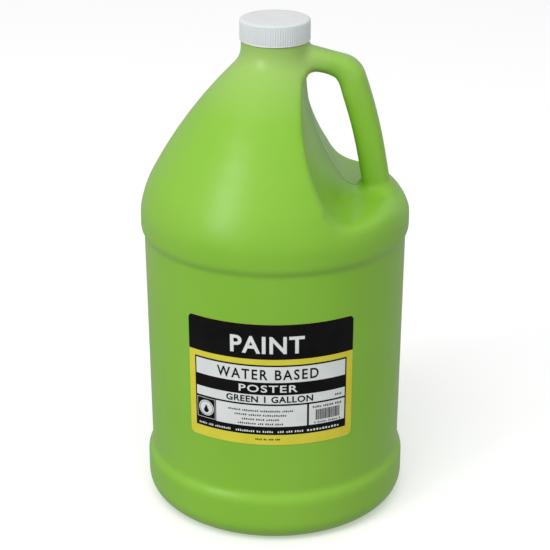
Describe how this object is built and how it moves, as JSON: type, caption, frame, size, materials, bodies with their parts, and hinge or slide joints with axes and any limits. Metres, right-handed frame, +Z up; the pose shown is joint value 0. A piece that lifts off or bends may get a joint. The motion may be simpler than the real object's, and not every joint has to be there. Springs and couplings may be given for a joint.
{
  "type": "one gallon handled paint jug",
  "caption": "Round gallon-size plastic jug of paint with a moulded-in hollow handle, finger recess, threaded neck, ribbed screw cap, foam cap liner and a wrapped front label.",
  "frame": {"origin": "centre of the base, on the ring that the jug stands on", "axes": "+Z up along the jug's axis, +X towards the handle, -Y out of the label"},
  "size_m": [0.1566, 0.1566, 0.2944],
  "materials": {
    "green_hdpe": "semi-gloss blow-moulded polyethylene, tinted by the paint behind it",
    "liquid_paint": "liquid paint",
    "label_film": "satin printed film",
    "liner_foam": "matte closed-cell foam",
    "cap_plastic": "satin polypropylene"
  },
  "bodies": {
    "jug_body": {"jug": "green_hdpe", "paint": "liquid_paint", "label": "label_film"},
    "liner": {"cap_liner": "liner_foam"},
    "cap": {"screw_cap": "cap_plastic"}
  },
  "joints": [
    {"name": "cap_lift", "type": "slide", "parent": "jug_body", "child": "liner", "axis": [0, 0, 1], "range_m": [0, 0.0127]},
    {"name": "cap_turn", "type": "hinge", "parent": "liner", "child": "cap", "pos_m": [0, 0, 0.288], "axis": [0, 0, 1], "range_deg": [0, 1081]}
  ],
  "couplings": [
    {"joint": "cap_turn", "follows": "cap_lift", "rad_per_m": 1484.2}
  ]
}
